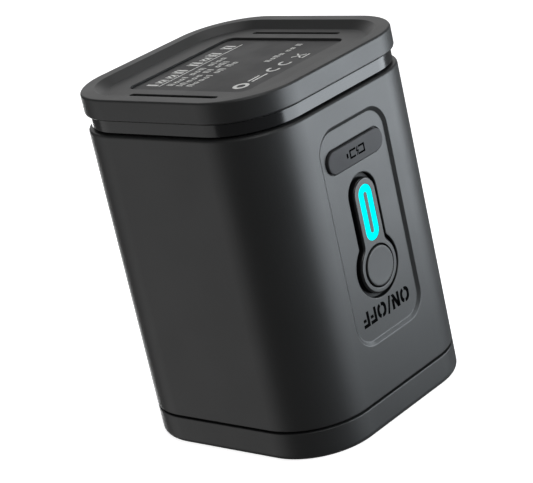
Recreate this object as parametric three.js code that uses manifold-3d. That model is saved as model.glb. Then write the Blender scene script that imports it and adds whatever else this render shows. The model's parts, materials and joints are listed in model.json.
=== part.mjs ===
// A pocket electric pump for air mattresses: a rounded square body that stands on its port end.
// The label end is up, the control face is towards -Y and the intake socket is towards +Y.
// Millimetres, +Z up, with the origin in the middle of the resting face.

import * as THREE from "three";
import { mergeVertices } from "three/addons/utils/BufferGeometryUtils.js";
import Module from "manifold-3d";

const wasm = await Module();
wasm.setup();

// Driving dimensions of the case
const WIDTH = 50; // across the flats, both ways
const HEIGHT = 71;
const CORNER = 13.3; // radius of the four upright edges
const WALL = 1.8;
const SLIP = 0.15; // gap between a piece and the hole it drops into
const GAP = 0.3; // gap between stacked pieces
const FACE = WIDTH / 2;
const INNER = WIDTH - 2 * WALL;
const CORNER_CENTRE = FACE - CORNER; // where the upright edges have their centres, on X and on Y

// Levels up the body
const SEAM_LOW = 5.7;
const SEAM_HIGH = 6.15;
const SHELL_TOP = 63.9;
const NECK_LOW = 64.2;
const NECK_HIGH = 66.7;
const CAP_LOW = 66.8;

// Port end
const SOCKET_RADIUS = 10.3; // the nozzles push into this, at the outlet and at the intake
const PORT_PLATE = 2;
const BOSS_PLACE = 17.8; // the case screws, on X and on Y
const BOSS_RADIUS = 3;
const HOUSING_RADIUS = 21.8;
const HOUSING_LOW = 6.6;
const HOUSING_HIGH = 19.6;

// Label end
const NECK_INSET = 0.8;
const RIM_LAND = 2.8;
const RECESS_DEPTH = 1.35;
const RECESS_SLOPE = 2;
const LABEL_SIZE = 29.5;
const LABEL_SINK = 0.8;
const SLOT_PLACE = 18;
const SLOT_LENGTH = 22;

// Control face: heights are from the resting face, depths are distances from the body's axis
const PANEL_WIDTH = 20.2;
const PANEL_LOW = 16.5;
const PANEL_HIGH = 59.6;
const PANEL_CORNER = 4.9;
const PANEL_DEPTH = 0.55;
const PANEL_DRAFT = 0.75; // how far the recess narrows on its way down
const PANEL_FLOOR = FACE - PANEL_DEPTH;
const FLAP_HEIGHT = 53.1;
const FLAP_WIDTH = 16.2;
const FLAP_TALL = 4.4;
const FLAP_SEAT = PANEL_FLOOR - 0.25;
const BUTTON_HEIGHT = 30.3;
const BUTTON_RADIUS = 3.9;
const KEY_NECK = 2.9;
const KEY_ROUND = 4.95;
const KEY_BLEND = 2;
const KEY_TOP = 44.6; // centre of the round end of the bezel's neck
const KEY_FACE = FACE; // the bezel is level with the face round the panel
const KEY_SLOPE = 0.35; // how far the bezel's side spreads on its way down
const GROOVE = 1.2; // from the bezel's face to the outer edge of the groove round it
const LIGHT_LOW = 37.4;
const LIGHT_OUTER = 1.95;
const LIGHT_INNER = 0.42;
const LIGHT_FLOOR = KEY_FACE - 0.9;
const LEG_REACH = (LIGHT_OUTER + LIGHT_INNER) / 2;

// Rear face
const INTAKE_HEIGHT = 36;

// Blower and motor, on the body's axis
const IMPELLER_RADIUS = 18;
const IMPELLER_LOW = 12;
const EYE_RADIUS = 9;
const COVER_LOW = 20.3;
const COVER_HIGH = 21.8;
const MOTOR_LOW = 26;
const MOTOR_HIGH = 52;
const MOTOR_RADIUS = 12.2;
const SHAFT_RADIUS = 1;
const BORE_RADIUS = 1.06;
const BEARING_RADIUS = 2.45;
const MOTOR_SCREW_PLACE = 8.2;

// Circuit board, upright behind the control face
const BOARD_FRONT = 16.4;
const BOARD_BACK = 15.2;
const BOARD_WIDTH = 28;
const BOARD_LOW = 22.5;
const BOARD_HIGH = 55.2;
const BOARD_SCREWS = [
  [-11.5, 26.5],
  [11.5, 48],
];

// Battery
const TRAY_LOW = 56.3;
const TRAY_HIGH = 62.8;
const CELL_LOW = 57.6;
const CELL_HIGH = 66;
const CELL_WIDTH = 34;
const CELL_FRONT = -14.5;
const CELL_BACK = 18;

const TAU = 2 * Math.PI;
const QUARTER = Math.PI / 2;
const part = new THREE.Group();

// Materials

function material(color, roughness, metalness = 0) {
  return new THREE.MeshStandardMaterial({ color, roughness, metalness });
}

const CASE = { color: 0x4c4e50, roughness: 0.62 };
const GLOSS_BLACK = { color: 0x1b1c1e, roughness: 0.25 };
const SILICONE = { color: 0x4a4a4d, roughness: 0.8 };
const DARK_PLASTIC = { color: 0x26272a, roughness: 0.6 };
const WHITE_PLASTIC = { color: 0xd9d9d4, roughness: 0.5 };
const STEEL = { color: 0x9a9da1, roughness: 0.35, metalness: 0.9 };
const BRASS = { color: 0xc2a04a, roughness: 0.35, metalness: 0.9 };
const COPPER = { color: 0xb06a3c, roughness: 0.4, metalness: 0.8 };
const RUBBER = { color: 0x17171a, roughness: 0.85 };
const GREEN_BOARD = { color: 0x1d5a38, roughness: 0.5 };
const CYAN_LIGHT = { color: 0x12f2f5, roughness: 0.4 };
const WIRE_RED = { color: 0xb5201c, roughness: 0.5 };
const WIRE_BLACK = { color: 0x141416, roughness: 0.5 };

function add(name, geometry, look, parent = part) {
  const mesh = new THREE.Mesh(geometry, material(look.color, look.roughness, look.metalness));
  mesh.name = name;
  parent.add(mesh);
  return mesh;
}

// Outlines

function roundedRect(width, height, radius, x = 0, y = 0) {
  const shape = new THREE.Shape();
  const across = width / 2 - radius;
  const up = height / 2 - radius;
  shape.absarc(x + across, y - up, radius, -QUARTER, 0);
  shape.absarc(x + across, y + up, radius, 0, QUARTER);
  shape.absarc(x - across, y + up, radius, QUARTER, Math.PI);
  shape.absarc(x - across, y - up, radius, Math.PI, 3 * QUARTER);
  return shape.closePath();
}

// A section of the body, whatever its size, keeps the same corner centres
function section(width) {
  return roundedRect(width, width, width / 2 - CORNER_CENTRE);
}

function circle(radius, x = 0, y = 0) {
  return new THREE.Shape().absarc(x, y, radius, 0, TAU);
}

// An upright stadium whose round ends have their centres at two heights
function stadium(radius, low, high) {
  const shape = new THREE.Shape();
  shape.absarc(0, high, radius, 0, Math.PI);
  shape.absarc(0, low, radius, Math.PI, TAU);
  return shape.closePath();
}

// The bezel's outline, grown outwards by a distance: a round part, blended into a narrower neck
function keyhole(grow) {
  const neck = KEY_NECK + grow;
  const round = KEY_ROUND + grow;
  const blend = KEY_BLEND - grow;
  const rise = Math.sqrt((round + blend) ** 2 - (neck + blend) ** 2);
  const turn = Math.atan2(rise, neck + blend);
  const shape = new THREE.Shape();
  shape.absarc(0, BUTTON_HEIGHT, round, Math.PI - turn, TAU + turn);
  shape.absarc(neck + blend, BUTTON_HEIGHT + rise, blend, Math.PI + turn, Math.PI, true);
  shape.absarc(0, KEY_TOP, neck, 0, Math.PI);
  shape.absarc(-neck - blend, BUTTON_HEIGHT + rise, blend, 0, -turn, true);
  return shape.closePath();
}

// A curved stretch of a ring, such as a magnet or an opening in a grille
function ringSector(inner, outer, middle, span) {
  const shape = new THREE.Shape();
  shape.absarc(0, 0, outer, middle - span / 2, middle + span / 2);
  shape.absarc(0, 0, inner, middle + span / 2, middle - span / 2, true);
  return shape.closePath();
}

// A backward-curved vane, seen along the axis
function vaneOutline(inner, outer, sweep, thickness, start) {
  const STEPS = 3;
  const sides = [[], []];
  for (let i = 0; i <= STEPS; i += 1) {
    const radius = inner + ((outer - inner) * i) / STEPS;
    const angle = start - (sweep * i) / STEPS;
    const half = thickness / 2 / radius;
    for (const [side, points] of sides.entries()) {
      const turned = angle + (side === 0 ? half : -half);
      points.push(new THREE.Vector2(radius * Math.cos(turned), radius * Math.sin(turned)));
    }
  }
  return new THREE.Shape([...sides[1], ...sides[0].reverse()]);
}

// Solids

function slab(shape, low, high, holes = [], curveSegments = 4) {
  const drawn = shape.clone();
  drawn.holes = holes;
  const geometry = new THREE.ExtrudeGeometry(drawn, {
    depth: high - low,
    bevelEnabled: false,
    curveSegments,
  });
  return geometry.translate(0, 0, low);
}

// A slab whose two ends narrow to the outline from a spread-out middle
function tapered(shape, low, high, drop, slope, curveSegments = 4) {
  const geometry = new THREE.ExtrudeGeometry(shape, {
    depth: high - low - 2 * drop,
    bevelThickness: drop,
    bevelSize: slope,
    bevelSegments: 1,
    curveSegments,
  });
  return geometry.translate(0, 0, low + drop);
}

// A cutter for a recess with drafted walls, which spreads from its floor to its rim and goes on past it
function flared(shape, floor, rim, slope) {
  return tapered(shape, floor, rim + 3 * (rim - floor), rim - floor, slope);
}

function box(width, depth, height, x, y, z) {
  return new THREE.BoxGeometry(width, depth, height).translate(x, y, z);
}

function rod(radius, low, high, x = 0, y = 0, sides = 16) {
  const cylinder = new THREE.CylinderGeometry(radius, radius, high - low, sides);
  return cylinder.rotateX(QUARTER).translate(x, y, (low + high) / 2);
}

// Profile points are [radius, height], round the outline with the material on the left
function turned(profile, sides = 28) {
  const points = [...profile, profile[0]].map(([radius, height]) => new THREE.Vector2(radius, height));
  return new THREE.LatheGeometry(points, sides).rotateX(QUARTER);
}

function ring(inner, outer, low, high, sides = 28) {
  const corners = [
    [inner, low],
    [outer, low],
    [outer, high],
    [inner, high],
  ];
  return turned(corners, sides);
}

function towardsFront(geometry) {
  return geometry.rotateX(QUARTER);
}

function towardsRear(geometry) {
  return geometry.rotateX(QUARTER).rotateZ(Math.PI);
}

function toManifold(geometry) {
  const bare = geometry.clone();
  bare.deleteAttribute("normal");
  bare.deleteAttribute("uv");
  const merged = mergeVertices(bare, 1e-4);
  const vertProperties = new Float32Array(merged.attributes.position.array);
  const triVerts = new Uint32Array(merged.index.array);
  return new wasm.Manifold(new wasm.Mesh({ numProp: 3, vertProperties, triVerts }));
}

function toGeometry(manifold) {
  const mesh = manifold.getMesh();
  const geometry = new THREE.BufferGeometry();
  geometry.setAttribute("position", new THREE.BufferAttribute(mesh.vertProperties, 3));
  geometry.setIndex(new THREE.BufferAttribute(mesh.triVerts, 1));
  return geometry;
}

// Joins the first list of geometries and cuts the second list out of them
function carve(joined, cut = []) {
  let body = toManifold(joined[0]);
  for (const geometry of joined.slice(1)) {
    body = body.add(toManifold(geometry));
  }
  for (const geometry of cut) {
    body = body.subtract(toManifold(geometry));
  }
  return toGeometry(body);
}

function fourCorners(place, make) {
  const signs = [
    [-1, -1],
    [1, -1],
    [1, 1],
    [-1, 1],
  ];
  return signs.map(([x, y], index) => make(x * place, y * place, index + 1));
}

// Case

function mainShell() {
  const corner = (x, y) => rod(BOSS_RADIUS, 8.1, 16, x, y, 12);
  const joined = [
    slab(section(WIDTH), SEAM_HIGH, SHELL_TOP, [section(INNER)]),
    ...fourCorners(BOSS_PLACE, corner),
    ...BOARD_SCREWS.map(([x, z]) => towardsFront(rod(2.3, BOARD_FRONT + 0.1, FACE - 1, x, z, 16))),
    ...[-1, 1].map((side) => box(3, 6, 2, side * (INNER / 2 - 1), 0, COVER_HIGH + GAP + 1)),
    ...[-1, 1].map((side) => box(4, 6, 2, side * (INNER / 2 - 1.5), 0, TRAY_LOW - SLIP - 1)),
    box(12, 4, 2, 0, INNER / 2 - 1.5, TRAY_LOW - SLIP - 1),
  ];
  const panel = roundedRect(
    PANEL_WIDTH - 2 * PANEL_DRAFT,
    PANEL_HIGH - PANEL_LOW - 2 * PANEL_DRAFT,
    PANEL_CORNER - PANEL_DRAFT,
    0,
    (PANEL_LOW + PANEL_HIGH) / 2,
  );
  const seat = roundedRect(FLAP_WIDTH + 0.4, FLAP_TALL + 0.4, FLAP_TALL / 2 + 0.1, 0, FLAP_HEIGHT);
  const cut = [
    towardsFront(flared(panel, PANEL_FLOOR, FACE, PANEL_DRAFT)),
    towardsFront(slab(seat, FLAP_SEAT, FACE)),
    towardsFront(slab(roundedRect(9.6, 3.9, 1.9, 0, FLAP_HEIGHT), FACE - 3, FACE)),
    towardsFront(slab(roundedRect(1.4, 3, 0.4, 7.4, FLAP_HEIGHT), FACE - 3, FACE)),
    towardsFront(slab(keyhole(GROOVE), FACE - 3, FACE, [], 6)),
    towardsRear(rod(12.25, FACE - 4, FACE + 1, 0, INTAKE_HEIGHT, 32)),
    ...fourCorners(BOSS_PLACE, (x, y) => rod(1.1, 7, 15, x, y, 10)),
    ...BOARD_SCREWS.map(([x, z]) => towardsFront(rod(1, BOARD_FRONT - 1, 22, x, z, 12))),
  ];
  return carve(joined, cut);
}

function portEndCap() {
  const EDGE = 1.3; // rounding of the lower outer edge
  const bottom = new THREE.ExtrudeGeometry(section(WIDTH - 2 * EDGE), {
    depth: SEAM_LOW - EDGE,
    bevelThickness: EDGE,
    bevelSize: EDGE,
    bevelSegments: 3,
    curveSegments: 4,
  });
  bottom.translate(0, 0, EDGE);
  const post = (x, y) => rod(BOSS_RADIUS - 0.2, PORT_PLATE - 0.5, 7.9, x, y, 12);
  const joined = [
    bottom,
    slab(section(WIDTH - 4.2), 3, 7.9),
  ];
  const trimmed = carve(joined, [
    slab(section(WIDTH + 2), SEAM_LOW, 12, [section(WIDTH - 4.2)]),
    slab(section(WIDTH - 5.8), PORT_PLATE, 12),
    rod(13.2, -1, 4, 0, 0, 32),
  ]);
  const holes = [
    ...fourCorners(BOSS_PLACE, (x, y) => rod(1.15, -1, 12, x, y, 10)),
    ...fourCorners(BOSS_PLACE, (x, y) => rod(2.55, -1, 1.75, x, y, 16)),
  ];
  return carve([trimmed, ...fourCorners(BOSS_PLACE, post)], holes);
}

function neckBand() {
  const bore = section(WIDTH - 7);
  const band = slab(section(WIDTH - 2 * NECK_INSET), NECK_LOW, NECK_HIGH, [bore]);
  const plug = slab(section(WIDTH - 4.2), 60.5, NECK_HIGH - 0.5, [bore]);
  return carve([band, plug]);
}

function labelEndCap() {
  const floor = HEIGHT - RECESS_DEPTH;
  const recess = section(WIDTH - 2 * (RIM_LAND + RECESS_SLOPE));
  const hollow = section(39.4);
  const slots = [-SLOT_PLACE, SLOT_PLACE].map((x) => {
    return slab(roundedRect(1, SLOT_LENGTH, 0.5, x, 0), 67, HEIGHT, [], 3);
  });
  const joined = [
    slab(section(WIDTH), CAP_LOW, HEIGHT),
    slab(section(42.4), 63.2, CAP_LOW + 0.5),
  ];
  const cut = [
    flared(recess, floor, HEIGHT, RECESS_SLOPE),
    slab(roundedRect(LABEL_SIZE + 0.5, LABEL_SIZE + 0.5, 2), floor - LABEL_SINK, HEIGHT, [], 3),
    slab(hollow, 63, 68),
    ...slots,
  ];
  return carve(joined, cut);
}

function labelPlate() {
  const low = HEIGHT - RECESS_DEPTH - LABEL_SINK + 0.05;
  return slab(roundedRect(LABEL_SIZE, LABEL_SIZE, 1.75), low, low + 0.35, [], 3);
}

function caseScrew(x, y) {
  const joined = [rod(2.3, 0.4, 1.65, x, y, 16), rod(1, 1.2, 14, x, y, 10)];
  const cross = [box(2.6, 0.5, 1, x, y, 0.4), box(0.5, 2.6, 1, x, y, 0.4)];
  return carve(joined, cross);
}

add("main_shell", mainShell(), CASE);
add("port_end_cap", portEndCap(), CASE);
add("neck_band", neckBand(), GLOSS_BLACK);
add("label_end_cap", labelEndCap(), CASE);
add("label_plate", labelPlate(), DARK_PLASTIC);
fourCorners(BOSS_PLACE, (x, y, number) => add(`case_screw_${number}`, caseScrew(x, y), STEEL));

// Outlet and intake

function outletCollar() {
  const profile = [
    [SOCKET_RADIUS, 0.3],
    [13, 0.3],
    [13, PORT_PLATE + 0.1],
    [14.5, PORT_PLATE + 0.1],
    [14.5, 3.2],
    [12.8, 3.2],
    [12.8, 5.9],
    [SOCKET_RADIUS, 5.9],
  ];
  const notches = [-1, 1].map((side) => box(2, 3, 4, side * (SOCKET_RADIUS + 0.2), 0, 2));
  return carve([turned(profile)], notches);
}

function intakeSocket() {
  const profile = [
    [11.4, 17.6],
    [12.1, 17.6],
    [12.1, FACE + 0.05],
    [13, FACE + 0.05],
    [13, FACE + 0.45],
    [SOCKET_RADIUS, FACE + 0.45],
    [SOCKET_RADIUS, 19],
    [11.4, 19],
  ];
  return turned(profile).translate(0, INTAKE_HEIGHT, 0);
}

function intakeGrille() {
  const rings = [
    [2.2, 5.5, 4],
    [6.5, 9.8, 8],
  ];
  const holes = [];
  for (const [inner, outer, count] of rings) {
    for (let i = 0; i < count; i += 1) {
      const bar = 1.2 / ((inner + outer) / 2);
      const opening = ringSector(inner, outer, (TAU * (i + 0.5)) / count, TAU / count - bar);
      holes.push(slab(opening, 17, 19, [], 2));
    }
  }
  return carve([rod(11.3, 17.7, 18.9, 0, 0, 28)], holes).translate(0, INTAKE_HEIGHT, 0);
}

add("outlet_collar", outletCollar(), GLOSS_BLACK);
add("outlet_seal", ring(10.5, 12.7, 6, 6.5), RUBBER);

const rear = new THREE.Group();
rear.rotation.order = "ZYX";
rear.rotation.set(QUARTER, 0, Math.PI);
part.add(rear);
add("intake_socket", intakeSocket(), GLOSS_BLACK, rear);
add("intake_grille", intakeGrille(), DARK_PLASTIC, rear);

// Control face. In this group x is across, y is up and z is outwards from the body's axis.

const front = new THREE.Group();
front.rotation.x = QUARTER;
part.add(front);

function buttonBezel() {
  const joined = [
    tapered(keyhole(0), 22.05, KEY_FACE, 0.5, KEY_SLOPE, 6),
    slab(keyhole(GROOVE - SLIP), 22, 23.6, [], 6),
    slab(keyhole(GROOVE + 0.7), 22.1, 23.1),
  ];
  const island = stadium(LIGHT_INNER, LIGHT_LOW, KEY_TOP);
  const cut = [
    rod(BUTTON_RADIUS + 0.22, 20, 27, 0, BUTTON_HEIGHT, 32),
    slab(stadium(LIGHT_OUTER, LIGHT_LOW, KEY_TOP), LIGHT_FLOOR, 27, [island]),
    rod(0.75, 20, LIGHT_FLOOR + 0.3, 0, KEY_TOP + LEG_REACH, 12),
    rod(0.75, 20, LIGHT_FLOOR + 0.3, 0, LIGHT_LOW - LEG_REACH, 12),
  ];
  return carve(joined, cut);
}

function lightGuide() {
  const inside = stadium(LIGHT_INNER + 0.06, LIGHT_LOW, KEY_TOP);
  const joined = [
    slab(stadium(LIGHT_OUTER - 0.06, LIGHT_LOW, KEY_TOP), LIGHT_FLOOR + 0.05, KEY_FACE - 0.03, [inside]),
    rod(0.6, 17.6, LIGHT_FLOOR + 0.4, 0, KEY_TOP + LEG_REACH, 10),
    rod(0.6, 17.6, LIGHT_FLOOR + 0.4, 0, LIGHT_LOW - LEG_REACH, 10),
  ];
  return carve(joined);
}

function powerButton() {
  const profile = [
    [0, 20.45],
    [1.6, 20.45],
    [1.6, 21],
    [4.9, 21],
    [4.9, 21.8],
    [BUTTON_RADIUS, 21.8],
    [BUTTON_RADIUS, KEY_FACE + 0.02],
    [BUTTON_RADIUS - 0.18, KEY_FACE + 0.2],
    [0, KEY_FACE + 0.2],
  ];
  return turned(profile).translate(0, BUTTON_HEIGHT, 0);
}

function chargingPortFlap() {
  const cover = roundedRect(FLAP_WIDTH, FLAP_TALL, FLAP_TALL / 2 - 0.1, 0, FLAP_HEIGHT);
  const lip = roundedRect(9.2, 3.5, 1.7, 0, FLAP_HEIGHT);
  const hollow = roundedRect(7.2, 1.6, 0.75, 0, FLAP_HEIGHT);
  const joined = [slab(cover, FLAP_SEAT + 0.1, FACE), slab(lip, 23.5, FLAP_SEAT + 0.3)];
  return carve(joined, [slab(hollow, 23, FLAP_SEAT)]);
}

function flapTether() {
  const post = slab(roundedRect(1, 2.6, 0.3, 7.4, FLAP_HEIGHT), 22.5, FLAP_SEAT, [], 3);
  const bead = slab(roundedRect(2.4, 4, 0.8, 7.4, FLAP_HEIGHT), 22, 22.9, [], 3);
  return carve([post, bead]);
}

function circuitBoard() {
  const outline = roundedRect(BOARD_WIDTH, BOARD_HIGH - BOARD_LOW, 1.5, 0, (BOARD_HIGH + BOARD_LOW) / 2);
  const holes = BOARD_SCREWS.map(([x, y]) => circle(1.15, x, y));
  return slab(outline, BOARD_BACK, BOARD_FRONT, holes, 3);
}

function boardScrew(x, y) {
  const joined = [rod(1.9, 14, BOARD_BACK - 0.1, x, y, 16), rod(0.85, 14.8, 20, x, y, 10)];
  return carve(joined, [box(2.2, 0.45, 1, x, y, 14), box(0.45, 2.2, 1, x, y, 14)]);
}

function usbShell() {
  const outside = roundedRect(8.94, 3.26, 1.6, 0, FLAP_HEIGHT);
  return slab(outside, BOARD_FRONT + 0.1, 23.3, [roundedRect(8.34, 2.66, 1.3, 0, FLAP_HEIGHT)], 3);
}

function usbTongue() {
  const low = BOARD_FRONT + 0.1;
  const base = box(7, 2, 1.2, 0, FLAP_HEIGHT, low + 0.6);
  return carve([base, box(6.7, 0.7, 6.1, 0, FLAP_HEIGHT, low + 3.05)]);
}

function switchBody() {
  const middle = (BOARD_FRONT + 0.1 + 19.9) / 2;
  const body = box(6.2, 6.2, 19.9 - BOARD_FRONT - 0.1, 0, BUTTON_HEIGHT, middle);
  return carve([body], [rod(1.95, 18.3, 21, 0, BUTTON_HEIGHT)]);
}

add("button_bezel", buttonBezel(), GLOSS_BLACK, front);
add("light_guide", lightGuide(), CYAN_LIGHT, front);
add("power_button", powerButton(), CASE, front);
add("charging_port_flap", chargingPortFlap(), SILICONE, front);
add("flap_tether", flapTether(), SILICONE, front);
add("circuit_board", circuitBoard(), GREEN_BOARD, front);
BOARD_SCREWS.forEach(([x, y], index) => add(`board_screw_${index + 1}`, boardScrew(x, y), STEEL, front));
add("usb_c_shell", usbShell(), STEEL, front);
add("usb_c_tongue", usbTongue(), DARK_PLASTIC, front);
add("switch_body", switchBody(), DARK_PLASTIC, front);
add("switch_plunger", rod(1.75, 18.9, 20.25, 0, BUTTON_HEIGHT), WHITE_PLASTIC, front);
add("led_upper", box(2, 1.2, 0.8, 0, KEY_TOP + LEG_REACH, 16.95), WHITE_PLASTIC, front);
add("led_lower", box(2, 1.2, 0.8, 0, LIGHT_LOW - LEG_REACH, 16.95), WHITE_PLASTIC, front);
add("control_chip", box(5, 5, 0.9, -6, 38, 14.65), DARK_PLASTIC, front);
add("inductor", box(5, 5, 2.2, 5.5, 38, 14), DARK_PLASTIC, front);

// Blower

function blowerHousing() {
  const profile = [
    [EYE_RADIUS, HOUSING_LOW],
    [HOUSING_RADIUS, HOUSING_LOW],
    [HOUSING_RADIUS, HOUSING_HIGH],
    [HOUSING_RADIUS - 1.4, HOUSING_HIGH],
    [HOUSING_RADIUS - 1.4, HOUSING_LOW + 1.2],
    [EYE_RADIUS, HOUSING_LOW + 1.2],
  ];
  return turned(profile, 32);
}

function vanes(count, inner, outer, sweep, low, high) {
  return Array.from({ length: count }, (_, i) => {
    return slab(vaneOutline(inner, outer, sweep, 0.9, (TAU * i) / count), low, high);
  });
}

function diffuserPlate() {
  const floor = HOUSING_LOW + 1.2 + 0.1;
  return carve([rod(18.6, 10.3, 11.3, 0, 0, 32), ...vanes(8, 9.4, 18.2, -0.7, floor, 10.6)]);
}

function impeller() {
  const joined = [
    rod(IMPELLER_RADIUS, IMPELLER_LOW, IMPELLER_LOW + 1.2, 0, 0, 32),
    rod(3.4, IMPELLER_LOW, 19.8, 0, 0, 24),
    ...vanes(9, 7.5, IMPELLER_RADIUS - 0.2, 0.75, IMPELLER_LOW + 1, 19),
  ];
  return carve(joined, [rod(BORE_RADIUS, 11, 21, 0, 0, 16)]);
}

function blowerCover() {
  const SEAT = 14;
  const legs = fourCorners(9.3, (x, y) => rod(1.2, COVER_HIGH - 0.4, 25, x, y, 8));
  const joined = [
    rod(HOUSING_RADIUS, COVER_LOW, COVER_HIGH, 0, 0, 32),
    rod(SEAT, 24.1, 25.9, 0, 0, 28),
    ring(12.6, SEAT, 25.4, 29),
    ...legs,
  ];
  const cut = [
    rod(EYE_RADIUS, COVER_LOW - 1, COVER_HIGH + 1, 0, 0, 32),
    rod(3.6, 24, 26, 0, 0, 24),
    ...[-1, 1].map((side) => rod(1.05, 24, 26, side * MOTOR_SCREW_PLACE, 0, 12)),
  ];
  return carve(joined, cut);
}

add("blower_housing", blowerHousing(), DARK_PLASTIC);
add("diffuser_plate", diffuserPlate(), DARK_PLASTIC);
add("impeller", impeller(), WHITE_PLASTIC);
add("blower_gasket", ring(HOUSING_RADIUS - 1.3, HOUSING_RADIUS - 0.1, 19.7, 20.2, 32), RUBBER);
add("blower_cover", blowerCover(), DARK_PLASTIC);

// Motor

function motorCan() {
  const profile = [
    [BEARING_RADIUS + 0.05, 24.6],
    [3.2, 24.6],
    [3.2, MOTOR_LOW],
    [MOTOR_RADIUS, MOTOR_LOW],
    [MOTOR_RADIUS, MOTOR_HIGH],
    [MOTOR_RADIUS - 0.8, MOTOR_HIGH],
    [MOTOR_RADIUS - 0.8, MOTOR_LOW + 0.9],
    [3.2, MOTOR_LOW + 0.9],
    [3.2, 28],
    [BEARING_RADIUS + 0.05, 28],
  ];
  const holes = [-1, 1].map((side) => rod(0.95, 25, 28, side * MOTOR_SCREW_PLACE, 0, 12));
  return carve([turned(profile)], holes);
}

function motorEndBell() {
  const profile = [
    [BEARING_RADIUS + 0.05, MOTOR_HIGH + 0.1],
    [7.6, MOTOR_HIGH + 0.1],
    [7.6, 50.6],
    [11.2, 50.6],
    [11.2, MOTOR_HIGH + 0.1],
    [MOTOR_RADIUS, MOTOR_HIGH + 0.1],
    [MOTOR_RADIUS, 54],
    [3.4, 54],
    [3.4, 55.2],
    [BEARING_RADIUS + 0.05, 55.2],
  ];
  const slots = [-1, 1].map((side) => box(0.9, 2.8, 8, side * 6.6, 0, 53));
  return carve([turned(profile)], slots);
}

function motorScrew(side) {
  const x = side * MOTOR_SCREW_PLACE;
  const joined = [rod(1.6, 23, 24, x, 0, 16), rod(0.8, 23.5, 27, x, 0, 10)];
  return carve(joined, [box(1.9, 0.4, 0.8, x, 0, 23)]);
}

// One of the three arms of the armature, pointing along an angle
function armatureArm(angle) {
  const arm = box(6, 2.6, 14, 4.6, 0, 38).rotateZ(angle);
  return [arm, slab(ringSector(7.1, 8.9, angle, 1.7), 31, 45, [], 3)];
}

function rotorCore() {
  const arms = [0, 1, 2].flatMap((i) => armatureArm((TAU * i) / 3));
  return carve([rod(3, 31, 45), ...arms], [rod(BORE_RADIUS, 30, 46, 0, 0, 16)]);
}

function winding(index) {
  const coil = carve([box(2.6, 5.8, 16, 4.9, 0, 38)], [box(4, 2.9, 14.3, 4.9, 0, 38)]);
  return coil.rotateZ((TAU * index) / 3);
}

add("motor_can", motorCan(), STEEL);
add("motor_end_bell", motorEndBell(), WHITE_PLASTIC);
add("motor_screw_1", motorScrew(-1), STEEL);
add("motor_screw_2", motorScrew(1), STEEL);
add("front_bearing", ring(BORE_RADIUS, BEARING_RADIUS, 24.8, 27.8, 20), BRASS);
add("rear_bearing", ring(BORE_RADIUS, BEARING_RADIUS, 52.3, 54.9, 20), BRASS);
add("magnet_left", slab(ringSector(9.4, 11.2, Math.PI, 2.4), 29, 47), DARK_PLASTIC);
add("magnet_right", slab(ringSector(9.4, 11.2, 0, 2.4), 29, 47), DARK_PLASTIC);
add("motor_shaft", rod(SHAFT_RADIUS, 12.3, 55, 0, 0, 16), STEEL);
add("rotor_core", rotorCore(), STEEL);
[0, 1, 2].forEach((i) => add(`rotor_winding_${i + 1}`, winding(i), COPPER));
add("commutator", ring(BORE_RADIUS, 2.6, 47, 51.6, 16), COPPER);
add("brush_left", box(2.4, 2, 2.2, -4, 0, 49.6), DARK_PLASTIC);
add("brush_right", box(2.4, 2, 2.2, 4, 0, 49.6), DARK_PLASTIC);
add("terminal_left", box(0.5, 2.4, 4.8, -6.6, 0, 53.3), BRASS);
add("terminal_right", box(0.5, 2.4, 4.8, 6.6, 0, 53.3), BRASS);

// Battery

function batteryTray() {
  const rim = slab(section(42.4), TRAY_LOW, TRAY_HIGH);
  const cut = [
    slab(section(40), TRAY_LOW + 1, TRAY_HIGH + 1),
    ...[-1, 1].map((side) => box(4, 7, 3, side * 10.5, -15.5, TRAY_LOW)),
  ];
  return carve([rim], cut);
}

function batteryCell() {
  const length = CELL_BACK - CELL_FRONT;
  return slab(roundedRect(CELL_WIDTH, length, 2, 0, (CELL_FRONT + CELL_BACK) / 2), CELL_LOW, CELL_HIGH, [], 3);
}

function wireLead(points) {
  const route = new THREE.CatmullRomCurve3(points.map((point) => new THREE.Vector3(...point)));
  return new THREE.ExtrudeGeometry(circle(0.45), {
    extrudePath: route,
    steps: 10,
    curveSegments: 4,
  });
}

function motorLead(side) {
  const points = [
    [side * 6, -14.6, 47],
    [side * 6, -13.9, 49.5],
    [side * 6.2, -13.5, 52.5],
    [side * 6.6, -10.8, 55.1],
    [side * 6.6, -6, 55.2],
    [side * 6.6, -1.5, 55.1],
  ];
  return wireLead(points);
}

function batteryLead(side) {
  const points = [
    [side * 10.5, -14.6, 51.4],
    [side * 10.5, -13.9, 53.2],
    [side * 10.5, -14, 55.4],
    [side * 10.5, -15.3, 57.6],
    [side * 10.5, -15.9, 59.6],
    [side * 10.5, -15.1, 61.4],
  ];
  return wireLead(points);
}

add("battery_tray", batteryTray(), DARK_PLASTIC);
add("battery_cell", batteryCell(), STEEL);
add("battery_pad", slab(roundedRect(28, 26, 1, 0, 1.5), CELL_HIGH + 0.2, 67.8, [], 2), RUBBER);
add("motor_lead_black", motorLead(-1), WIRE_BLACK);
add("motor_lead_red", motorLead(1), WIRE_RED);
add("battery_lead_black", batteryLead(-1), WIRE_BLACK);
add("battery_lead_red", batteryLead(1), WIRE_RED);

export default part;
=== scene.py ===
"""The pocket air mattress pump, standing on its port end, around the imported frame.

Lengths in this file are millimetres until mesh_object() turns them into metres.
The frame: +Z up, -Y out of the control face, +Y out of the intake socket.
"""

import json
import math

import bmesh
import bpy
from mathutils import Matrix, Vector


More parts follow.
